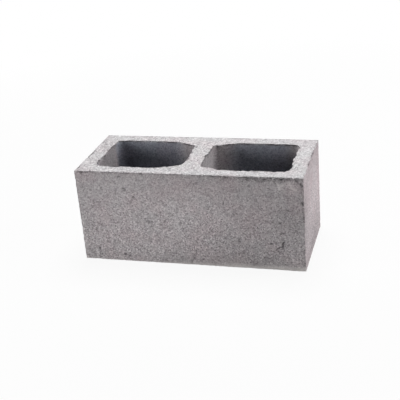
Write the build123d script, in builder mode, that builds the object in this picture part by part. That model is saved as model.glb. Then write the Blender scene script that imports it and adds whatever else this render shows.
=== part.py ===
"""Two-cell hollow concrete block, standing on its bed face, in millimetres.

The block is pressed in one piece. Two tapered cores leave two cells that run right through from bed to bed. At the
centre web the cells narrow in flares, which thicken the joint between web and face shells. At the end webs their
corners are only rounded. The origin is the middle of the lower bed face, with +X along the block's length, +Y through
its width and +Z up, out of the upper bed face.
"""

import os

from build123d import *

# Outer size
block_length = 440.0
block_width = 190.0
block_height = 190.0

# Concrete round the cells at the upper bed face, where it is thinnest
face_shell = 28.0
end_web = 32.0
centre_web = 35.0

# Plan of a cell at the upper bed face
flare_length = 44.0
flare_depth = 18.0
flare_web_radius = 13.0
flare_shell_radius = 40.0
end_corner_radius = 14.0

# Taper of the cores, in degrees, which lets them be drawn out upwards
core_draft = 1.2

# Worn edges: the outer arrises, and the rims of the cells
arris_radius = 1.5
rim_radius = 2.0

# How far the cores reach past the lower bed face, so that the cells go right through
core_overrun = 10.0

# Places of the cell walls, from the middle of the block
web_wall = centre_web / 2
end_wall = block_length / 2 - end_web
shell_wall = block_width / 2 - face_shell
flare_end = web_wall + flare_length
flare_narrow = shell_wall - flare_depth

with BuildPart() as concrete_block:
    # Outer body, with its arrises slightly worn
    Box(block_length, block_width, block_height, align=(Align.CENTER, Align.CENTER, Align.MIN))
    fillet(concrete_block.edges(), radius=arris_radius)

    # Cell plan on the right of the centre web, mirrored to the left
    with BuildSketch(Plane.XY.offset(block_height)) as cell_plan:
        with BuildLine():
            Polyline(
                (web_wall, -flare_narrow),
                (web_wall, flare_narrow),
                (flare_end, shell_wall),
                (end_wall, shell_wall),
                (end_wall, -shell_wall),
                (flare_end, -shell_wall),
                close=True,
            )
        make_face()
        fillet(cell_plan.vertices().group_by(Axis.X)[-1], radius=end_corner_radius)
        fillet(cell_plan.vertices().group_by(Axis.X)[1], radius=flare_shell_radius)
        fillet(cell_plan.vertices().group_by(Axis.X)[0], radius=flare_web_radius)
        mirror(about=Plane.YZ)

    # Both cells, narrowing downwards by the cores' draft
    extrude(amount=-(block_height + core_overrun), taper=core_draft, mode=Mode.SUBTRACT)

    # Rims of the cells in both bed faces
    bed_faces = concrete_block.faces().filter_by(Axis.Z).sort_by(Axis.Z)
    rims = [wire.edges() for bed in (bed_faces[0], bed_faces[-1]) for wire in bed.inner_wires()]
    fillet([edge for rim in rims for edge in rim], radius=rim_radius)

concrete_block.part.label = "concrete_block"

os.makedirs("parts", exist_ok=True)
export_step(concrete_block.part, "parts/concrete_block.step")
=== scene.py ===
"""Hollow concrete block: the cast piece with its crumbled edges and open grain, on a pale studio floor."""

import math

import bpy
import numpy as np
from bpy.props import FloatProperty, FloatVectorProperty, IntProperty, PointerProperty, StringProperty
from mathutils import Matrix, Vector


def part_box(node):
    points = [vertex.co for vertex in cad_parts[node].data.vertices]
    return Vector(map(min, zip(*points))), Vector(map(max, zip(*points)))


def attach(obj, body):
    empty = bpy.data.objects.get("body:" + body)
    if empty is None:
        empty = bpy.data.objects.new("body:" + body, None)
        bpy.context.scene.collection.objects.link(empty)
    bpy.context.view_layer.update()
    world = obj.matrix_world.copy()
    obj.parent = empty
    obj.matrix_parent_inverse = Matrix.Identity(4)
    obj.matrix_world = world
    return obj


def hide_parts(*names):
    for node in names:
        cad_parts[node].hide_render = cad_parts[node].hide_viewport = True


bl_info = {
    "name": "Hollow concrete block",
    "version": (1, 0, 0),
    "blender": (4, 5, 0),
    "location": "View3D > Sidebar > Concrete",
    "description": "Casts a two-cell concrete block with worn edges and sets it on a studio floor",
    "category": "Add Mesh",
}

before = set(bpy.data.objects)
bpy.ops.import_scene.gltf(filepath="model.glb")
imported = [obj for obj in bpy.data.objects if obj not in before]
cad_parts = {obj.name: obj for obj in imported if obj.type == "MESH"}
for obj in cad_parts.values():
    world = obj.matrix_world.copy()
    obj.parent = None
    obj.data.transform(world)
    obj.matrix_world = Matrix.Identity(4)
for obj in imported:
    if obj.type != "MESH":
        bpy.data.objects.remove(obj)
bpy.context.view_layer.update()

MM = 0.001
NODE = "concrete_block"
LOW, HIGH = (np.array(corner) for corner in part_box(NODE))
LENGTH, WIDTH, HEIGHT = HIGH - LOW


def linear_colour(text):
    """A colour written as sRGB hex, turned to the linear red, green, blue and alpha that shaders take."""
    channels = np.array([int(text[i : i + 2], 16) for i in (1, 3, 5)]) / 255
    low, high = channels / 12.92, ((channels + 0.055) / 1.055) ** 2.4
    return (*np.where(channels <= 0.04045, low, high), 1.0)


# Settings


class CellSettings(bpy.types.PropertyGroup):
    """Plan and taper of the two cells, as in the solid block."""

    face_shell: FloatProperty(
        name="Face shell",
        description="Wall in front of and behind the cells, at the top",
        default=28 * MM,
        unit="LENGTH",
    )
    end_web: FloatProperty(
        name="End web",
        description="Wall at each end of the block, at the top",
        default=32 * MM,
        unit="LENGTH",
    )
    centre_web: FloatProperty(
        name="Centre web",
        description="Wall between the cells, at the top",
        default=35 * MM,
        unit="LENGTH",
    )
    flare_length: FloatProperty(
        name="Flare length",
        description="Run of a flare along the shell",
        default=44 * MM,
        unit="LENGTH",
    )
    flare_depth: FloatProperty(
        name="Flare depth",
        description="How far a flare thickens the shell at the centre web",
        default=18 * MM,
        unit="LENGTH",
    )
    flare_web_radius: FloatProperty(
        name="Radius at the web",
        description="Where a flare turns into the centre web",
        default=13 * MM,
        unit="LENGTH",
    )
    flare_shell_radius: FloatProperty(
        name="Radius at the shell",
        description="Where a flare runs out into the shell",
        default=40 * MM,
        unit="LENGTH",
    )
    end_corner_radius: FloatProperty(
        name="End corner radius",
        description="Cell corners at the end webs",
        default=14 * MM,
        unit="LENGTH",
    )
    core_draft: FloatProperty(
        name="Core draft",
        description="Taper of the cells, narrowing downwards",
        default=math.radians(1.2),
        subtype="ANGLE",
    )


class ReliefSettings(bpy.types.PropertyGroup):
    """Roughness, wear and damage of the cast surface."""

    spacing: FloatProperty(
        name="Mesh spacing",
        description="Distance between the lines of the surface grids",
        default=2.3 * MM,
        unit="LENGTH",
    )
    swell: FloatProperty(
        name="Swell",
        description="Slow swell of the faces left by the mould",
        default=0.4 * MM,
        unit="LENGTH",
    )
    grain: FloatProperty(
        name="Grain",
        description="Height of the coarse grains in the faces",
        default=0.45 * MM,
        unit="LENGTH",
    )
    pit_depth: FloatProperty(
        name="Pit depth",
        description="Depth of the open pits between grains",
        default=1.3 * MM,
        unit="LENGTH",
    )
    arris_wear: FloatProperty(
        name="Arris wear",
        description="How far the outer edges are rubbed back",
        default=0.5 * MM,
        unit="LENGTH",
    )
    arris_chips: FloatProperty(
        name="Arris chips",
        description="Depth of the small chips along the outer edges",
        default=2.0 * MM,
        unit="LENGTH",
    )
    rim_wander: FloatProperty(
        name="Rim wander",
        description="How far the rims of the cells stray from their line",
        default=2.4 * MM,
        unit="LENGTH",
    )
    rim_crumble: FloatProperty(
        name="Rim crumble",
        description="Depth of the crumbled places round the cells",
        default=1.6 * MM,
        unit="LENGTH",
    )
    tear_depth: FloatProperty(
        name="Tear depth",
        description="Depth of the torn band below the upper edge",
        default=1.2 * MM,
        unit="LENGTH",
    )
    mark_depth: FloatProperty(
        name="Mark depth",
        description="Depth of the crack, the larger pits and the larger chips",
        default=2.0 * MM,
        unit="LENGTH",
    )
    seed: IntProperty(name="Seed", description="Choice of the random relief", default=7)


class ConcreteSettings(bpy.types.PropertyGroup):
    """Colours of the concrete, as sRGB hex."""

    paste: StringProperty(name="Cement paste", description="Colour of the cement skin", default="#B3AEB0")
    pale_sand: StringProperty(
        name="Pale sand",
        description="Colour of the lightest grains",
        default="#D8D3D4",
    )
    dark_sand: StringProperty(
        name="Dark sand",
        description="Colour of the darkest grains",
        default="#868082",
    )
    # Pore is also the colour of the painted shade in pits, chips, cracks and other recesses
    pore: StringProperty(name="Pore", description="Colour inside pores and pits", default="#4A4648")
    blush: StringProperty(
        name="Blush",
        description="Tint of the patches with iron in the sand",
        default="#FFF9FA",
    )
    # Also the colour of the painted light from the floor along the bottom
    smear_and_floor_light_colour: StringProperty(
        name="Laitance",
        description="Colour of the thin paste squeezed out along the pallet",
        default="#F2EDEA",
    )
    # Painted shade: darkens the cells' walls, more with depth and along the shells
    cell_shade_tint: StringProperty(
        name="Core skin",
        description="Tint of the dense cell walls",
        default="#AAABAD",
    )
    # Painted shade: a cooler cast on the shaded walls along the shells
    cell_cool_cast: StringProperty(
        name="Core cast",
        description="Cool cast of the cell walls along the shells",
        default="#E7F3FF",
    )
    bed_skin: StringProperty(name="Bed skin", description="Tint of the dry bed faces", default="#FAFFFE")
    end_skin: StringProperty(name="End skin", description="Warm tint of the two ends", default="#FFFAFB")
    clouds: FloatProperty(
        name="Clouds",
        description="Strength of the slow light and dark clouds",
        default=0.4,
        subtype="FACTOR",
    )


class StageSettings(bpy.types.PropertyGroup):
    """Floor, lamps and camera."""

    floor_colour: StringProperty(
        name="Floor",
        description="Colour of the studio floor, sRGB hex",
        default="#CCCCCC",
    )
    floor_size: FloatProperty(
        name="Floor size",
        description="Side of the floor",
        default=16.0,
        unit="LENGTH",
    )
    floor_white: FloatProperty(
        name="Floor white",
        description="Share of plain white in what the camera sees of the floor by the block",
        default=0.92,
        subtype="FACTOR",
    )
    floor_clear: FloatProperty(
        name="Floor clear",
        description="Distance from the block at which the camera sees plain white alone",
        default=1.6,
        unit="LENGTH",
    )
    overhead_power: FloatProperty(
        name="Overhead power",
        description="Power of the softbox above the block",
        default=46.0,
        unit="POWER",
    )
    overhead_place: FloatVectorProperty(
        name="Overhead place",
        description="Middle of the softbox above the block, a little behind it",
        default=(0.0, 0.52, 2.03),
        unit="LENGTH",
    )
    side_power: FloatProperty(
        name="Side power",
        description="Power of the softbox on the right",
        default=20.0,
        unit="POWER",
    )
    side_place: FloatVectorProperty(
        name="Side place",
        description="Middle of the softbox on the right",
        default=(1.79, 0.32, 0.94),
        unit="LENGTH",
    )
    fill_power: FloatProperty(
        name="Fill power",
        description="Power of the softbox in front on the left",
        default=12.5,
        unit="POWER",
    )
    fill_place: FloatVectorProperty(
        name="Fill place",
        description="Middle of the low softbox in front on the left",
        default=(-1.21, -0.70, 0.37),
        unit="LENGTH",
    )
    softbox_size: FloatProperty(
        name="Softbox size",
        description="Width of each softbox",
        default=1.0,
        unit="LENGTH",
    )
    fill_height: FloatProperty(
        name="Fill height",
        description="Height of the low softbox in front",
        default=0.7,
        unit="LENGTH",
    )
    ambient: FloatProperty(
        name="Ambient",
        description="Strength of the even light all round",
        default=0.075,
    )
    camera_place: FloatVectorProperty(
        name="Camera place",
        description="Where the camera stands",
        default=(0.4583, -1.5028, 0.8130),
        unit="LENGTH",
    )
    camera_azimuth: FloatProperty(
        name="Camera azimuth",
        description="Turn of the view to the right of the block's front",
        default=math.radians(17.08),
        subtype="ANGLE",
    )
    camera_elevation: FloatProperty(
        name="Camera elevation",
        description="How far the view looks down",
        default=math.radians(24.59),
        subtype="ANGLE",
    )
    camera_roll: FloatProperty(
        name="Camera roll",
        description="Tilt of the picture",
        default=math.radians(4.85),
        subtype="ANGLE",
    )
    lens: FloatProperty(
        name="Lens",
        description="Focal length on a 36 mm sensor",
        default=78.73,
        unit="CAMERA",
    )


# Plan lines

# Width of the worn strip along an outer edge
ARRIS = 0.8 * MM


def cell_corners(cell, inset):
    """Corners and radii of the right-hand cell's plan, counter-clockwise from the front of the centre web.

    inset moves every wall into the cell by that much, as the taper of the cores does: straight walls shift
    by it, a flare shifts by it square to its own slope, and the corners' radii shrink by it.
    """
    web = cell.centre_web / 2 + inset
    end = LENGTH / 2 - cell.end_web - inset
    shell = WIDTH / 2 - cell.face_shell - inset
    slope = cell.flare_depth / cell.flare_length
    drop = inset * math.hypot(1, slope)
    narrow = WIDTH / 2 - cell.face_shell - cell.flare_depth + slope * inset - drop
    flare = web + (shell - narrow) / slope
    corners = [(web, -narrow), (flare, -shell), (end, -shell), (end, shell), (flare, shell), (web, narrow)]
    at_web, at_shell, at_end = cell.flare_web_radius, cell.flare_shell_radius, cell.end_corner_radius
    radii = [at_web, at_shell, at_end, at_end, at_shell, at_web]
    return np.array(corners), np.array(radii) - inset


def rounded_loop(corners, radii, steps=16):
    """Closed line through corners that all turn left, each replaced by an arc.

    An arc of radius r that turns by t starts r tan(t/2) before its corner. At angle a it has gone r sin(a)
    along the way in and r (1 - cos(a)) to the left. Returns the arcs' points, one row for each corner.
    """
    way_in = corners - np.roll(corners, 1, 0)
    way_in /= np.linalg.norm(way_in, axis=1, keepdims=True)
    way_out = np.roll(way_in, -1, 0)
    left = np.stack([-way_in[:, 1], way_in[:, 0]], 1)
    turn = np.arccos(np.sum(way_in * way_out, 1))
    start = corners - way_in * (radii * np.tan(turn / 2))[:, None]
    angle = turn[:, None] * np.linspace(0, 1, steps + 1)
    along = (radii[:, None] * np.sin(angle))[..., None] * way_in[:, None]
    across = (radii[:, None] * (1 - np.cos(angle)))[..., None] * left[:, None]
    return start[:, None] + along + across


def cell_line(cell, inset, counts):
    """Plan line of the right-hand cell, closed, as points evenly spaced on each of its four stretches.

    The stretches run from the middle of the front flare to the middle of the front end corner, along the
    end web, back to the middle of the back flare, and past the centre web. counts gives the steps on each.
    """
    arcs = rounded_loop(*cell_corners(cell, inset))
    line = arcs.reshape(-1, 2)
    steps = np.linalg.norm(np.roll(line, -1, 0) - line, axis=1)
    way = np.concatenate([[0], np.cumsum(steps)])
    at = way[:-1].reshape(arcs.shape[:2])
    middle = arcs.shape[1] // 2
    front_flare, back_flare = (at[0, -1] + at[1, 0]) / 2, (at[4, -1] + at[5, 0]) / 2
    marks = np.array([front_flare, at[2, middle], at[3, middle], back_flare, front_flare + way[-1]])
    stations = np.interp(side_shares(counts), np.arange(5), marks)
    return np.stack([np.interp(stations, way[:-1], line[:, i], period=way[-1]) for i in (0, 1)], 1)


def half_line(counts):
    """Outline of the block's right half, closed, from the middle of its front through its corners."""
    corners = np.array([(0, -1), (1, -1), (1, 1), (0, 1), (0, -1)]) * (LENGTH / 2, WIDTH / 2)
    return np.stack([np.interp(side_shares(counts), np.arange(5), corners[:, i]) for i in (0, 1)], 1)


def edged(count, length):
    """Shares from 0 to 1 in even steps, with one short step at each end that keeps the arris crisp."""
    return np.concatenate([[0], np.linspace(ARRIS / length, 1 - ARRIS / length, count - 1), [1]])


def side_shares(counts):
    """Stations along four sides, with counts steps on each: side 2 at a quarter of its length is 2.25."""
    lengths = (LENGTH / 2, WIDTH, LENGTH / 2, WIDTH)
    sides = (side + edged(*step)[:-1] for side, step in enumerate(zip(counts, lengths)))
    return np.concatenate([*sides, [4.0]])


# Noise and falloffs


def lattice_noise(points, size, seed):
    """Smooth noise from 0 to 1: random values on a cubic lattice of that size, blended by 3t^2 - 2t^3."""
    side = 61
    table = np.random.default_rng(seed).random((side, side, side))
    place = points / size
    base = np.floor(place).astype(int)
    ease = place - base
    ease = ease * ease * (3 - 2 * ease)
    value = np.zeros(len(points))
    for corner in np.ndindex(2, 2, 2):
        i, j, k = ((base + corner) % side).T
        value += table[i, j, k] * np.prod(np.where(corner, ease, 1 - ease), 1)
    return value


def ramp(values, low, high):
    """Smooth rise from 0 at low to 1 at high."""
    share = np.clip((values - low) / (high - low), 0, 1)
    return share * share * (3 - 2 * share)


def bell(values, width):
    """1 at 0, falling to about a third at width: exp(-(v / width)^2)."""
    return np.exp(-((values / width) ** 2))


def between(low, high, share):
    """Values from low, where the share is 0, to high, where it is 1."""
    return low + (high - low) * share


# Surface grids

# Stands for a distance to an edge that isn't near
FAR = 1.0

# Seeds of the rims of the right and left cell, which stray much as the block's own
RIM_SEEDS = (3688, 7771)

# Heights over which a cell's wall bends over to its rim, and over which it turns from bed to wall in look
RIM_BEND = 5 * MM
RIM_BAND = 6 * MM

# Steps from a rim out to the block's edge, and lines down a cell's wall with their crowding at its ends
RING_STEPS = 14
WALL_LINES = 34
WALL_CROWD = 0.75

# Sheet that colours can be baked to: its side, the gap between its parts, and where the beds' column starts
SHEET = 0.9
SHEET_GAP = 5 * MM
BED_COLUMN = 0.65


def grid_squares(rows, columns):
    """Corner numbers of the squares of a grid whose points are numbered row by row."""
    row, column = np.meshgrid(np.arange(rows - 1), np.arange(columns - 1), indexing="ij")
    first = row * columns + column
    return np.stack([first, first + 1, first + columns + 1, first + columns], -1).reshape(-1, 4)


def eased(count, crowd):
    """Shares from 0 to 1 that lie closer together at both ends: t - crowd sin(2 pi t) / (2 pi)."""
    share = np.linspace(0, 1, count)
    return share - crowd * np.sin(2 * np.pi * share) / (2 * np.pi)


def blend(first, last, shares):
    """Straight lines from each point of one line to its like on another, one row of points a share."""
    return first + shares[:, None, None] * (last - first)


def lift(plan, height):
    """Plan points set at a height."""
    return np.concatenate([plan, np.full((*plan.shape[:-1], 1), height)], -1)


def bed_ring(rim, outline, height, shares):
    """A bed face of a half: straight lines from the cell's rim out to the half's outline."""
    points = lift(blend(rim, outline, shares), height)
    to_rim = shares[:, None] * np.linalg.norm(outline - rim, axis=1)
    to_arris = np.minimum(WIDTH / 2 - np.abs(points[..., 1]), LENGTH / 2 - points[..., 0])
    return points, to_rim, to_arris, np.zeros_like(to_rim)


def cell_wall(upper, lower, upper_rim, lower_rim, shares):
    """A cell's wall: straight lines from the upper line down to the lower one, smaller by the draft.

    Near either bed the wall bends over to the ragged rim there.
    """
    points = blend(lift(upper, HEIGHT), lift(lower, 0.0), shares)
    to_bed = np.stack([HEIGHT - points[..., 2], points[..., 2]])
    bends = bell(to_bed, RIM_BEND)[..., None] * np.stack([upper_rim - upper, lower_rim - lower])[:, None]
    points[..., :2] += bends.sum(0)
    to_rim = to_bed.min(0)
    return points, to_rim, np.full_like(to_rim, FAR), ramp(to_rim, 0, RIM_BAND)


def ragged_rim(line, height, wander, seed):
    """The cell's plan line with its points moved in or out by up to wander, as noises of 4 and 10 mm say.

    Along the webs it strays by the whole wander, and along the shells, where it is neater, by a third.
    """
    along = np.roll(line[:-1], -1, 0) - np.roll(line[:-1], 1, 0)
    along = np.concatenate([along, along[:1]])
    out = np.stack([along[:, 1], -along[:, 0]], 1) / np.linalg.norm(along, axis=1, keepdims=True)
    place = lift(line, height)
    noise = 0.6 * lattice_noise(place, 4 * MM, seed) + 0.4 * lattice_noise(place, 10 * MM, seed + 1)
    reach = wander * (1 + 2 * np.abs(out[:, 0])) / 3
    return line + out * (reach * np.clip(4 * noise - 2, -1, 1))[:, None]


def outer_wall(outline, shares):
    """The front, end and back of a half: its outline carried straight down."""
    points = blend(lift(outline, HEIGHT), lift(outline, 0.0), shares)
    to_bed = np.minimum(points[..., 2], HEIGHT - points[..., 2])
    to_corner = np.maximum(LENGTH / 2 - points[..., 0], WIDTH / 2 - np.abs(points[..., 1]))
    return points, np.full_like(to_bed, FAR), np.minimum(to_bed, to_corner), np.zeros_like(to_bed)


def half_grids(cell, settings):
    """The four grids of each half, both placed as the right one: two beds, the cell's wall and the outside.

    Each comes with what is known of its points and with whether its squares turn the other way.
    """
    long_side = round(LENGTH / 2 / settings.spacing) + 1
    short_side = round(WIDTH / settings.spacing) + 1
    counts = (long_side, short_side, long_side, short_side)
    outline = half_line(counts)
    walled = outline[: sum(counts[:3]) + 1]
    upper = cell_line(cell, 0.0, counts)
    lower = cell_line(cell, HEIGHT * math.tan(cell.core_draft), counts)
    ring, deep = edged(RING_STEPS, cell.end_web), eased(WALL_LINES, WALL_CROWD)
    down = edged(round(HEIGHT / settings.spacing) + 2, HEIGHT)
    halves = []
    for rim_seed in RIM_SEEDS:
        seed = settings.seed + rim_seed
        upper_rim = ragged_rim(upper, HEIGHT, settings.rim_wander, seed)
        lower_rim = ragged_rim(lower, 0.0, settings.rim_wander, seed + 2)
        grids = [
            (bed_ring(upper_rim, outline, HEIGHT, ring), False),
            (bed_ring(lower_rim, outline, 0.0, ring), True),
            (cell_wall(upper, lower, upper_rim, lower_rim, deep), True),
            (outer_wall(walled, down), False),
        ]
        halves.append(grids)
    return halves


def block_skin(cell, settings):
    """The whole skin of the block, welded from the grids of both halves, of which the left one is mirrored.

    Returns the points, one row for each with its distance to the nearest rim, to the nearest outer edge and
    1 on a cell's wall, the squares, and the place of each square's corners on the unrolled skin.
    """
    points, facts, squares, charts, count = [], [], [], [], 0
    for side, half in zip((1, -1), half_grids(cell, settings)):
        for number, ((place, *known), turned) in enumerate(half):
            rows, columns = place.shape[:2]
            corners = grid_squares(rows, columns) + count
            squares.append(corners if turned == (side > 0) else corners[:, ::-1])
            points.append((place * (side, 1, 1)).reshape(-1, 3))
            facts.append(np.stack(known, -1).reshape(-1, 3))
            charts.append(unrolled(place, number, side).reshape(-1, 2))
            count += rows * columns
    points, facts, charts = np.concatenate(points), np.concatenate(facts), np.concatenate(charts)
    squares = np.concatenate(squares)

    # Points of different grids that share a place, to a micron, become one
    micron = np.round(points / MM * 1000).astype(np.int64)
    _, first, same = np.unique(micron, axis=0, return_index=True, return_inverse=True)
    return points[first], facts[first], same.reshape(-1)[squares], charts[squares]


def unrolled(place, number, side):
    """Place of a grid's points on the flat sheet that its colours can be baked to, from 0 to 1.

    The first two grids, the beds, lie flat as they are, in a column of their own. Walls are unrolled to
    strips, one above the other.
    """
    if number < 2:
        across = BED_COLUMN + place[..., 1] + WIDTH / 2
        up = number * (LENGTH + SHEET_GAP) + side * place[..., 0] + LENGTH / 2
    else:
        steps = np.linalg.norm(np.diff(place, axis=1), axis=2)
        across = np.concatenate([np.zeros((len(place), 1)), np.cumsum(steps, 1)], 1)
        strip = 2 * (number - 2) + (side < 0)
        up = strip * (HEIGHT + SHEET_GAP) + place[..., 2]
    return (np.stack([across, up], -1) + SHEET_GAP) / SHEET


def outward(points, squares):
    """Unit normals at the points: the mean of the squares around each, weighted by area."""
    corner = points[squares]
    area = np.cross(corner[:, 2] - corner[:, 0], corner[:, 3] - corner[:, 1])
    sums = [np.bincount(squares.ravel(), np.repeat(area[:, i], 4), len(points)) for i in range(3)]
    total = np.stack(sums, 1)
    return total / np.linalg.norm(total, axis=1, keepdims=True)


# Placed marks

# Stretches in the front face, as (x, z) ends in millimetres: a branching crack low on the right, its finer
# branches with a few small pits, larger pits, of which the first ten are chips in the upper edge, two faint
# scrapes, and pale smears of paste
CRACK = [((181, 60), (178, 57)), ((178, 57), (178, 50))]
BRANCHES = [
    ((178, 50), (172, 48)),
    ((172, 48), (167, 45)),
    ((167, 45), (168, 39)),
    ((178, 49), (180, 41)),
    ((181, 51), (185, 49)),
    ((-126, 50), (-124, 50)),
    ((-170, 40), (-168, 40)),
    ((-75, 88), (-73, 88)),
    ((-18, 86), (-18, 84)),
    ((10, 31), (10, 29)),
    ((70, 135), (70, 133)),
]
PITS = [
    ((-205, 186), (-203, 187)),
    ((-197, 188), (-193, 188)),
    ((-187, 189), (-186, 189)),
    ((-180, 189), (-179, 189)),
    ((-117, 189), (-111, 189)),
    ((-86, 188), (-83, 188)),
    ((148, 185), (151, 184)),
    ((178, 187), (181, 186)),
    ((206, 184), (209, 182)),
    ((214, 179), (217, 174)),
    ((-190, 26), (-187, 25)),
    ((-137, 15), (-134, 15)),
    ((-128, 12), (-126, 12)),
    ((4, 14), (6, 14)),
    ((-106, 139), (-104, 137)),
    ((-124, 156), (-121, 154)),
    ((155, 55), (158, 55)),
    ((174, 99), (176, 98)),
    ((216, 142), (218, 137)),
]
FAINT = [((174, 77), (181, 77)), ((143, 25), (163, 24))]
SMEARS = [
    ((173, 176), (177, 167)),
    ((178, 173), (182, 174)),
    ((194, 179), (198, 169)),
    ((198, 169), (206, 166)),
    ((14, 89), (16, 89)),
    ((-144, 7), (-142, 7)),
]

# Chips along the upper edges of both ends, as (x, y, z) ends in millimetres
CHIPS = [
    ((-219, -84, 190), (-219, -73, 190)),
    ((-219, -26, 190), (-219, 12, 190)),
    ((-219, 54, 190), (-218, 64, 190)),
    ((220, -32, 190), (220, -14, 190)),
    ((220, 10, 190), (220, 34, 190)),
]

# Notches in the cells' upper rims, mostly at the centre web, as (x, y, z) ends in millimetres
NOTCHES = [
    ((-16, -26, 190), (-15, -17, 190)),
    ((-15, 38, 190), (-14, 43, 190)),
    ((18, -38, 190), (18, -33, 190)),
    ((17, -6, 190), (17, -1, 190)),
    ((18, 14, 190), (18, 17, 190)),
    ((22, 47, 190), (25, 52, 190)),
    ((189, 47, 190), (190, 53, 190)),
]

# How far the front's marks reach from their stretches, and how deep they go as a share of the full depth
FRONT_MARKS = (
    (CRACK, 2.6 * MM, 1.0),
    (PITS, 3.0 * MM, 0.8),
    (BRANCHES, 2.4 * MM, 0.65),
    (FAINT, 3.0 * MM, 0.35),
)

# How far the other marks reach from their stretches
CHIP_REACH = 5 * MM
NOTCH_REACH = 4 * MM
SMEAR_REACH = 3.5 * MM


def groove(place, stretches, reach):
    """1 on straight stretches, given by their ends in millimetres on place's axes, falling to 0 at reach."""
    near = np.full(len(place), np.inf)
    for start, stop in stretches:
        start, stop = np.array(start) * MM, np.array(stop) * MM
        way = stop - start
        share = np.clip((place - start) @ way / (way @ way), 0, 1)
        near = np.minimum(near, np.linalg.norm(place - start - share[:, None] * way, axis=1))
    return 1 - ramp(near, 0, reach)


def hand_marks(points, on_front, rough):
    """How deep the placed marks go: the deepest of the front's grooves, or edges broken by a rough noise."""
    front = points[:, ::2]
    grooves = [share * groove(front, stretches, reach) for stretches, reach, share in FRONT_MARKS]
    broken = np.maximum(groove(points, CHIPS, CHIP_REACH), groove(points, NOTCHES, NOTCH_REACH))
    return np.maximum(on_front * np.max(grooves, 0), between(0.2, 0.8, rough) * broken)


# Relief

# Sizes of the noises that shape the surface. The first takes the block's own seed, and each other the next
NOISE_SIZES = {
    "swell": 70 * MM,
    "grain": 4.6 * MM,
    "coarse": 9 * MM,
    "pits": 6 * MM,
    "chips": 5 * MM,
    "clumps": 11 * MM,
    "crumbs": 5 * MM,
    "rough": 4.2 * MM,
    "tear": 9 * MM,
    "floor_light": 25 * MM,
}

# Size of the slow clouds in the colour of the outside, and how far their seed lies after the block's own
CLOUD_SIZE = 110 * MM
CLOUD_SEED = 157

# How far inside the front or an end a point stops counting as part of it
FACE_SKIN = 1 * MM

# How far the wear and the small chips reach from an outer edge, and how far below the top chips are fuller
WEAR_REACH = 2 * MM
EDGE_CHIP_REACH = 3 * MM
FULLER_CHIPS = 20 * MM

# The torn upper edge of the front: how far down it goes on the left and on the right, how far in it goes
# beside the right edge, and how far notches reach from the edge itself
TEAR_LEFT = 5 * MM
TEAR_RIGHT = 13 * MM
TEAR_BESIDE = 2 * MM
TEAR_NOTCH = 2.6 * MM

# How far crumbling reaches from a cell's rim, and how far under it the patches of painted shade lie and
# reach
CRUMBLE_REACH = 4 * MM
UNDER_RIM = 2.5 * MM
UNDER_RIM_REACH = 2 * MM

# Least and greatest height of the painted light from the floor along the bottom, before it is scaled to the
# right
FLOOR_LIGHT_LOW = 4 * MM
FLOOR_LIGHT_HIGH = 9 * MM

# Depth over which a cell's wall turns from the pale of its rim to its full painted shade
CORE_PALE = 45 * MM


def surface_noise(points, seed):
    """The noises of NOISE_SIZES at the points, by name."""
    sizes = enumerate(NOISE_SIZES.items())
    return {name: lattice_noise(points, size, seed + number) for number, (name, size) in sizes}


def face_shares(points, facts):
    """Shares of the outside, the beds, the front and the ends at each point, from 0 to 1.

    The share of a bed fades out down the cells' walls, that of the front or an end just inside it.
    """
    to_rim, _, on_core = facts.T
    outside = to_rim >= FAR
    on_bed = ~outside * (1 - on_core)
    on_front = ramp(-points[:, 1], WIDTH / 2 - FACE_SKIN, WIDTH / 2)
    on_end = outside * ramp(np.abs(points[:, 0]), LENGTH / 2 - FACE_SKIN, LENGTH / 2)
    return outside, on_bed, on_front, on_end


def torn_edge(points, on_front, noise):
    """How torn the front is under its upper edge and beside its right one, and how notched the upper one.

    The band under the edge reaches further down to the right, as a noise says. Inside it, and in the notches
    of the edge itself, a rougher noise says how much is gone.
    """
    below, beside, behind = HEIGHT - points[:, 2], LENGTH / 2 - points[:, 0], points[:, 1] + WIDTH / 2
    rightward = ramp(points[:, 0], -40 * MM, 130 * MM)
    reach = between(TEAR_LEFT, TEAR_RIGHT, rightward) * between(0.3, 1.7, noise["tear"])
    band = between(0.25, 1, rightward) * (1 - ramp(below, 0.35 * reach, reach))
    gone = between(0.3, 1, ramp(noise["rough"], 0.3, 0.7))
    torn = on_front * gone * np.maximum(band, 0.6 * bell(beside, TEAR_BESIDE))
    notched = bell(np.hypot(below, behind), TEAR_NOTCH) * ramp(noise["rough"], 0.45, 0.75)
    return torn, notched * between(0.3, 1, rightward)


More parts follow.
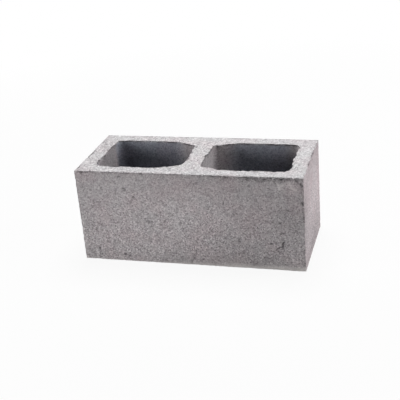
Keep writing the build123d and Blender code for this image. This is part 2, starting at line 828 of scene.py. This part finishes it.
def relief(points, facts, noise, settings):
    """How deep each point lies below the mould's faces, how torn it is and how dark its painted shade is.

    The depth adds up a slow swell, grain that is coarser on the beds and weaker on the cells' walls, pits
    where a noise is high, crumbled places round the cells, an even wear of the outer edges, stronger further
    up, with small chips where a noise is high, the torn upper edge of the front, and the placed marks.
    Painted shade darkens the colour in the pits, chips, crumbled and torn places and marks, in the low spots
    of the beds, and in patches just under the cells' rims, where shade would fall.
    """
    to_rim, to_arris, on_core = facts.T
    _, on_bed, on_front, _ = face_shares(points, facts)
    grain = noise["grain"] * (1 - 0.4 * on_core)
    coarse = noise["coarse"] * on_bed
    hollows = on_bed * ramp(0.6 * grain + 0.4 * coarse, 0.5, 0.8)
    pits = ramp(noise["pits"], 0.86, 0.98) * (1 - 0.5 * on_core)
    wear = bell(to_arris, WEAR_REACH) * between(0.3, 1, points[:, 2] / HEIGHT)
    upper = ramp(points[:, 2], HEIGHT - FULLER_CHIPS, HEIGHT - FULLER_CHIPS / 4)
    chips = bell(to_arris, EDGE_CHIP_REACH) * ramp(noise["chips"], 0.7, 0.95) * between(0.35, 1, upper)
    ragged = 0.5 * noise["clumps"] + 0.5 * noise["crumbs"]
    crumble = bell(to_rim, CRUMBLE_REACH) * between(0.1, 1, ramp(ragged, 0.42, 0.75))
    # Painted shade: dark patches on a cell's wall just under its crumbled rim
    painted_rim_shade = (on_core > 0) * bell(to_rim - UNDER_RIM, UNDER_RIM_REACH) * ramp(ragged, 0.35, 0.65)
    torn, notched = torn_edge(points, on_front, noise)
    marks = hand_marks(points, on_front, noise["rough"])

    depth = settings.swell * noise["swell"] + settings.grain * (grain + 1.2 * coarse)
    depth += settings.pit_depth * pits + settings.rim_crumble * crumble
    depth += settings.arris_wear * wear + settings.arris_chips * np.maximum(chips, notched)
    depth += settings.tear_depth * torn + settings.mark_depth * marks
    # Painted shade: the colour is darkened in the pits, chips, crumbled and torn places, marks and the beds'
    # low spots
    painted_recess_shade = 0.6 * pits + 0.8 * chips + 0.25 * crumble + 0.55 * torn + 0.3 * notched
    painted_recess_shade += 1.2 * marks + 0.15 * hollows + 0.65 * painted_rim_shade
    return depth, np.clip(painted_recess_shade, 0, 1), torn


# Skin


def bare_sand(points, facts, torn):
    """How bare the sand lies at each point.

    The block is pressed from above, so there is more cement over the sand towards the top of its walls, and
    a little more on the right. The beds are barer to the left, as painted shade that makes the top darker on
    the left than on the right, and less bare along the shells. Torn places are bare.
    """
    _, on_bed, _, _ = face_shares(points, facts)
    upward = ramp(points[:, 2], 70 * MM, HEIGHT)
    rightward = ramp(points[:, 0], 40 * MM, 140 * MM)
    along_shell = ramp(np.abs(points[:, 1]), 58 * MM, 70 * MM)
    walls = (0.96 - 0.32 * upward - 0.06 * rightward) * (1 - 0.1 * facts[:, 2])
    # Painted shade: barer sand on the left of the beds makes the top darker there
    beds = 1.1 - 0.3 * points[:, 0] / (LENGTH / 2) - 0.25 * along_shell
    return between(walls, beds, on_bed) + 1.2 * torn


def smears_and_floor_light(points, facts, noise):
    """How far pale colour covers the sand: painted light along the bottom, and smears.

    A pale band of painted light along the bottom stands in for light from the white floor. It is as high as
    a noise says, higher and fuller to the right of the front. A few smears of pale paste lie on the front.
    """
    outside, _, on_front, _ = face_shares(points, facts)
    # Painted light: the pale band along the bottom, fuller to the right of the front
    squeezed = on_front * ramp(points[:, 0], -120 * MM, 100 * MM)
    floor_light_height = between(FLOOR_LIGHT_LOW, FLOOR_LIGHT_HIGH, noise["floor_light"]) * between(0.55, 1.2, squeezed)
    floor_light = outside * between(0.3, 1, squeezed) * bell(points[:, 2], floor_light_height)
    return np.maximum(floor_light, 0.45 * on_front * groove(points[:, ::2], SMEARS, SMEAR_REACH))


def painted_cell_shade(points, facts):
    """Painted shade on the cells' walls: how much darker and how much cooler they are painted.

    Along the shells the painted shade deepens with depth, and along the webs it is half as strong. It is
    stronger towards the ends, and weaker, as painted light, in the left cell's end corners and near the
    centre web, over a longer way in the left cell. The cooler cast of painted shade lies along the shells,
    away from the centre web and the right end.
    """
    to_rim, _, on_core = facts.T
    off_centre, off_middle = np.abs(points[:, :2]).T
    along_shell = ramp(off_middle, 40 * MM, 60 * MM)
    # Painted shade deepening down the walls, lessened as painted light near the centre web and in the left
    # end corners
    by_depth = between(0.1, 0.92, ramp(to_rim, 0, CORE_PALE))
    by_web = bell(points[:, 0], np.where(points[:, 0] < 0, 74 * MM, 57 * MM))
    in_corner = ramp(-points[:, 0], 168 * MM, 184 * MM) * ramp(off_middle, 15 * MM, 50 * MM)
    shade_strength = 1.06 + 0.36 * ramp(off_centre, 120 * MM, 185 * MM) - 0.7 * by_web - 0.45 * in_corner
    shaded = on_core * between(0.52, by_depth, along_shell) * shade_strength
    right_end = ramp(points[:, 0], 150 * MM, 180 * MM)
    cool = on_core * along_shell * ramp(off_centre, 30 * MM, 75 * MM) * (1 - right_end)
    return shaded, cool


def tint_and_cell_shade(points, facts, colours, seed):
    """Tint of the concrete at each point, with the painted shade of the cells' walls, as linear colours.

    White is multiplied by the painted shade of the cells' walls and the tints of the beds and the ends, each
    by its share there, and on the outside by slow clouds.
    """
    shaded, cool = painted_cell_shade(points, facts)
    outside, on_bed, _, on_end = face_shares(points, facts)
    tint = np.ones((len(points), 4))
    skins = (
        (colours.cell_shade_tint, shaded),
        (colours.cell_cool_cast, cool),
        (colours.bed_skin, on_bed),
        (colours.end_skin, on_end),
    )
    for colour, share in skins:
        tint *= between(1, np.array(linear_colour(colour)), share[:, None])
    clouds = outside * (lattice_noise(points, CLOUD_SIZE, seed + CLOUD_SEED) - 0.5)
    return tint * (1 + colours.clouds * clouds[:, None])


# Materials


def add_node(tree, kind, sockets=(), **settings):
    """Adds a node with its settings and sockets.

    sockets pairs inputs, by name or number, with the outputs that feed them or with constant values.
    """
    node = tree.nodes.new(kind)
    for name, value in settings.items():
        setattr(node, name, value)
    for socket, value in dict(sockets).items():
        if isinstance(value, bpy.types.NodeSocket):
            tree.links.new(value, node.inputs[socket])
        else:
            node.inputs[socket].default_value = value
    return node


def new_material(name):
    """An empty node material and its tree."""
    material = bpy.data.materials.new(name)
    material.use_nodes = True
    material.node_tree.nodes.clear()
    return material, material.node_tree


# Sockets of a colour Mix node, which go by number because its float and vector sockets have the same names
MIX_FACTOR, MIX_UNDER, MIX_OVER, MIX_RESULT = 0, 6, 7, 2

# Sizes of the patterns in the concrete
SAND_SIZE = 2.2 * MM
PATCH_SIZE = 40 * MM
PORE_SIZE = 2.6 * MM
BUMP_HEIGHT = 0.6 * MM


def concrete_material(colours):
    """Dry concrete pressed in a steel mould and stripped at once.

    To the eye it is a dull, dry mauve-grey with no gloss, speckled by sand grains a little darker and
    lighter than the cement, with small dark pores, and on the cells' walls, which the cores drew smoother,
    darker and cooler with painted shade.
    """
    material, tree = new_material("pressed_concrete_open_grain")
    place = add_node(tree, "ShaderNodeTexCoord").outputs["Object"]

    # Sand grains of about 2 mm, each with a grey of its own
    bare = add_node(tree, "ShaderNodeAttribute", attribute_name="bare").outputs["Fac"]
    grains = add_node(tree, "ShaderNodeTexVoronoi", {"Vector": place, "Scale": 1 / SAND_SIZE})
    grey = add_node(tree, "ShaderNodeSeparateColor", {"Color": grains.outputs["Color"]})
    sand = add_node(tree, "ShaderNodeValToRGB", {"Fac": grey.outputs["Red"]})
    greys = (colours.dark_sand, colours.paste, colours.paste, colours.pale_sand)
    stops = sand.color_ramp.elements
    while len(stops) < len(greys):
        stops.new(1.0)
    for stop, position, colour in zip(stops, (0.0, 0.4, 0.6, 1.0), greys):
        stop.position = position
        stop.color = linear_colour(colour)
    paste = linear_colour(colours.paste)
    cemented = add_node(
        tree,
        "ShaderNodeMix",
        {MIX_FACTOR: bare, MIX_UNDER: paste, MIX_OVER: sand.outputs["Color"]},
        data_type="RGBA",
    )

    # Faint pinkish patches, about two fingers wide
    patches = add_node(
        tree,
        "ShaderNodeTexNoise",
        {"Vector": place, "Scale": 1 / PATCH_SIZE, "Detail": 2.0},
    )
    blush = add_node(
        tree,
        "ShaderNodeMapRange",
        {"Value": patches.outputs["Fac"], "From Min": 0.4, "From Max": 0.7},
    )
    tinted = add_node(
        tree,
        "ShaderNodeMix",
        {
            MIX_FACTOR: blush.outputs["Result"],
            MIX_UNDER: cemented.outputs[MIX_RESULT],
            MIX_OVER: linear_colour(colours.blush),
        },
        data_type="RGBA",
        blend_type="MULTIPLY",
    )

    # Painted shade darkens and cools the cells' walls; the beds dry plainer grey, the ends a little warmer
    skin = add_node(tree, "ShaderNodeAttribute", attribute_name="tint_and_cell_shade")
    skinned = add_node(
        tree,
        "ShaderNodeMix",
        {MIX_FACTOR: 1.0, MIX_UNDER: tinted.outputs[MIX_RESULT], MIX_OVER: skin.outputs["Color"]},
        data_type="RGBA",
        blend_type="MULTIPLY",
    )

    # Pores of a millimetre or two between grains where the sand is bare, and painted shade in larger
    # recesses
    pores = add_node(
        tree,
        "ShaderNodeTexNoise",
        {"Vector": place, "Scale": 1 / PORE_SIZE, "Detail": 2.0, "Roughness": 0.6},
    )
    deep = add_node(
        tree,
        "ShaderNodeMapRange",
        {"Value": pores.outputs["Fac"], "From Min": 0.6, "From Max": 0.76, "To Max": 0.8},
    )
    pore = add_node(tree, "ShaderNodeMath", {0: deep.outputs["Result"], 1: bare}, operation="MULTIPLY")
    painted_recess_shade = add_node(tree, "ShaderNodeAttribute", attribute_name="painted_recess_shade")
    dark = add_node(
        tree,
        "ShaderNodeMath",
        {0: pore.outputs["Value"], 1: painted_recess_shade.outputs["Fac"]},
        operation="MAXIMUM",
    )
    coloured = add_node(
        tree,
        "ShaderNodeMix",
        {
            MIX_FACTOR: dark.outputs["Value"],
            MIX_UNDER: skinned.outputs[MIX_RESULT],
            MIX_OVER: linear_colour(colours.pore),
        },
        data_type="RGBA",
    )

    # Painted light from the floor along the bottom, and a few smears of pale paste, cover grains and pores
    pale_share = add_node(tree, "ShaderNodeAttribute", attribute_name="smear_and_floor_light_share")
    smear_and_floor_light_share = add_node(
        tree,
        "ShaderNodeMix",
        {
            MIX_FACTOR: pale_share.outputs["Fac"],
            MIX_UNDER: coloured.outputs[MIX_RESULT],
            MIX_OVER: linear_colour(colours.smear_and_floor_light_colour),
        },
        data_type="RGBA",
    )

    # Relief finer than the mesh: the grains stand up and the pores go in
    sunk = add_node(
        tree,
        "ShaderNodeMath",
        {0: grains.outputs["Distance"], 1: pore.outputs["Value"]},
        operation="ADD",
    )
    bump = add_node(
        tree,
        "ShaderNodeBump",
        {"Height": sunk.outputs["Value"], "Strength": 0.5, "Distance": BUMP_HEIGHT},
        invert=True,
    )
    shader = add_node(
        tree,
        "ShaderNodeBsdfPrincipled",
        {
            "Base Color": smear_and_floor_light_share.outputs[MIX_RESULT],
            "Normal": bump.outputs["Normal"],
            "Roughness": 0.93,
            "Specular IOR Level": 0.3,
        },
    )
    add_node(tree, "ShaderNodeOutputMaterial", {"Surface": shader.outputs["BSDF"]})
    return material


def plain_sight(tree):
    """1 for rays that show the background: from the camera, off gloss or through glass."""
    path = add_node(tree, "ShaderNodeLightPath").outputs
    seen = path["Is Camera Ray"]
    for other in ("Is Glossy Ray", "Is Transmission Ray"):
        either = add_node(tree, "ShaderNodeMath", {0: seen, 1: path[other]}, operation="MAXIMUM")
        seen = either.outputs["Value"]
    return seen


def floor_material(stage):
    """Matt studio floor.

    To the eye it is pale and has no gloss. The camera sees it as near white with the block's shadow on it,
    and as plain white further out.
    """
    material, tree = new_material("studio_floor_matt_white")
    matt = add_node(tree, "ShaderNodeBsdfDiffuse", {"Color": linear_colour(stage.floor_colour)})
    white = add_node(tree, "ShaderNodeEmission", {"Color": linear_colour("#FFFFFF"), "Strength": 1.0})
    place = add_node(tree, "ShaderNodeTexCoord").outputs["Object"]
    away = add_node(tree, "ShaderNodeVectorMath", {0: place}, operation="LENGTH")
    share = add_node(
        tree,
        "ShaderNodeMapRange",
        {
            "Value": away.outputs["Value"],
            "From Min": LENGTH,
            "From Max": stage.floor_clear,
            "To Min": stage.floor_white,
        },
    )
    seen = add_node(
        tree,
        "ShaderNodeMixShader",
        {0: share.outputs["Result"], 1: matt.outputs["BSDF"], 2: white.outputs["Emission"]},
    )
    surface = add_node(
        tree,
        "ShaderNodeMixShader",
        {0: plain_sight(tree), 1: matt.outputs["BSDF"], 2: seen.outputs["Shader"]},
    )
    add_node(tree, "ShaderNodeOutputMaterial", {"Surface": surface.outputs["Shader"]})
    return material


# Operators


class CONCRETE_OT_block(bpy.types.Operator):
    """Cast the block with its relief and damage"""

    bl_idname = "concrete.block"
    bl_label = "Cast block"

    def execute(self, context):
        scene = context.scene
        settings, colours = scene.concrete_relief, scene.concrete_colours
        points, facts, squares, chart = block_skin(scene.concrete_cells, settings)
        noise = surface_noise(points, settings.seed)
        depth, painted_recess_shade, torn = relief(points, facts, noise, settings)
        shares = {
            "painted_recess_shade": painted_recess_shade,
            "bare": bare_sand(points, facts, torn),
            "smear_and_floor_light_share": smears_and_floor_light(points, facts, noise),
        }
        tint = tint_and_cell_shade(points, facts, colours, settings.seed)
        points = points - outward(points, squares) * depth[:, None]
        mesh = bpy.data.meshes.new("cast_concrete_block")
        mesh.from_pydata(points, [], squares)
        mesh.uv_layers.new(name="OFBake").uv.foreach_set("vector", chart.ravel())
        for name, values in shares.items():
            mesh.attributes.new(name, "FLOAT", "POINT").data.foreach_set("value", values)
        mesh.attributes.new("tint_and_cell_shade", "FLOAT_COLOR", "POINT").data.foreach_set("color", tint.ravel())
        mesh.polygons.foreach_set("use_smooth", np.ones(len(squares), bool))
        mesh.update()
        mesh.materials.append(concrete_material(colours))
        block = bpy.data.objects.new("cast_concrete_block", mesh)
        scene.collection.objects.link(block)
        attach(block, "root")
        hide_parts(NODE)
        return {"FINISHED"}


class CONCRETE_OT_stage(bpy.types.Operator):
    """Lay the floor, set the lamps and place the camera"""

    bl_idname = "concrete.stage"
    bl_label = "Set stage"

    def execute(self, context):
        scene, stage = context.scene, context.scene.concrete_stage
        scene.view_settings.view_transform = "Standard"
        lay_floor(scene, stage)
        width = stage.softbox_size
        add_softbox(scene, "overhead_softbox", stage.overhead_place, (width, width), stage.overhead_power)
        add_softbox(scene, "side_softbox", stage.side_place, (width, width), stage.side_power)
        add_softbox(scene, "fill_softbox", stage.fill_place, (width, stage.fill_height), stage.fill_power)
        set_world(scene, stage)
        place_camera(scene, stage)
        return {"FINISHED"}


def lay_floor(scene, stage):
    """A flat square of floor under the block."""
    corners = np.array([(-1, -1, 0), (1, -1, 0), (1, 1, 0), (-1, 1, 0)]) * stage.floor_size / 2
    mesh = bpy.data.meshes.new("studio_floor")
    mesh.from_pydata(corners, [], [(0, 1, 2, 3)])
    mesh.materials.append(floor_material(stage))
    floor = bpy.data.objects.new("studio_floor", mesh)
    scene.collection.objects.link(floor)


def add_softbox(scene, name, place, size, power):
    """A lamp of that width and height that faces the middle of the block."""
    lamp = bpy.data.lights.new(name, "AREA")
    lamp.shape = "RECTANGLE"
    lamp.size, lamp.size_y = size
    lamp.energy = power
    softbox = bpy.data.objects.new(name, lamp)
    softbox.location = place
    away = Vector(place) - Vector((0, 0, HEIGHT / 2))
    softbox.rotation_euler = away.to_track_quat("Z", "Y").to_euler()
    scene.collection.objects.link(softbox)


def set_world(scene, stage):
    """Weak even light all round, behind which the camera sees plain white."""
    world = bpy.data.worlds.new("studio_light")
    world.use_nodes = True
    tree = world.node_tree
    tree.nodes.clear()
    strength = add_node(
        tree,
        "ShaderNodeMapRange",
        {"Value": plain_sight(tree), "To Min": stage.ambient, "To Max": 1.0},
    )
    sky = add_node(
        tree,
        "ShaderNodeBackground",
        {"Color": linear_colour("#FFFFFF"), "Strength": strength.outputs["Result"]},
    )
    add_node(tree, "ShaderNodeOutputWorld", {"Surface": sky.outputs["Background"]})
    scene.world = world


def place_camera(scene, stage):
    """Stands the camera at its place, turned by azimuth and elevation and then rolled about its own line."""
    lens = bpy.data.cameras.new("camera")
    lens.sensor_width = 36.0
    lens.lens = stage.lens
    camera = bpy.data.objects.new("camera", lens)
    view = Matrix.Rotation(stage.camera_azimuth, 4, "Z")
    view = view @ Matrix.Rotation(math.pi / 2 - stage.camera_elevation, 4, "X")
    view = view @ Matrix.Rotation(-stage.camera_roll, 4, "Z")
    camera.matrix_world = Matrix.Translation(stage.camera_place) @ view
    scene.collection.objects.link(camera)
    scene.camera = camera


class CONCRETE_PT_panel(bpy.types.Panel):
    """Sidebar panel with the block's steps and settings"""

    bl_idname = "CONCRETE_PT_panel"
    bl_label = "Concrete block"
    bl_space_type = "VIEW_3D"
    bl_region_type = "UI"
    bl_category = "Concrete"

    def draw(self, context):
        for operator in (CONCRETE_OT_block, CONCRETE_OT_stage):
            self.layout.operator(operator.bl_idname)
        for name in SETTINGS:
            group = getattr(context.scene, name)
            for prop in group.bl_rna.properties:
                if prop.identifier not in ("rna_type", "name"):
                    self.layout.prop(group, prop.identifier)


SETTINGS = {
    "concrete_cells": CellSettings,
    "concrete_relief": ReliefSettings,
    "concrete_colours": ConcreteSettings,
    "concrete_stage": StageSettings,
}
CLASSES = (*SETTINGS.values(), CONCRETE_OT_block, CONCRETE_OT_stage, CONCRETE_PT_panel)


def register():
    """Adds the classes to Blender and the settings to its scenes."""
    for cls in CLASSES:
        bpy.utils.register_class(cls)
    for name, group in SETTINGS.items():
        setattr(bpy.types.Scene, name, PointerProperty(type=group))


def unregister():
    """Takes the settings and the classes away again."""
    for name in SETTINGS:
        delattr(bpy.types.Scene, name)
    for cls in reversed(CLASSES):
        bpy.utils.unregister_class(cls)


def main():
    """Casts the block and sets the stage."""
    register()
    bpy.ops.concrete.block()
    bpy.ops.concrete.stage()
    bpy.context.view_layer.update()


if __name__ == "__main__":
    main()
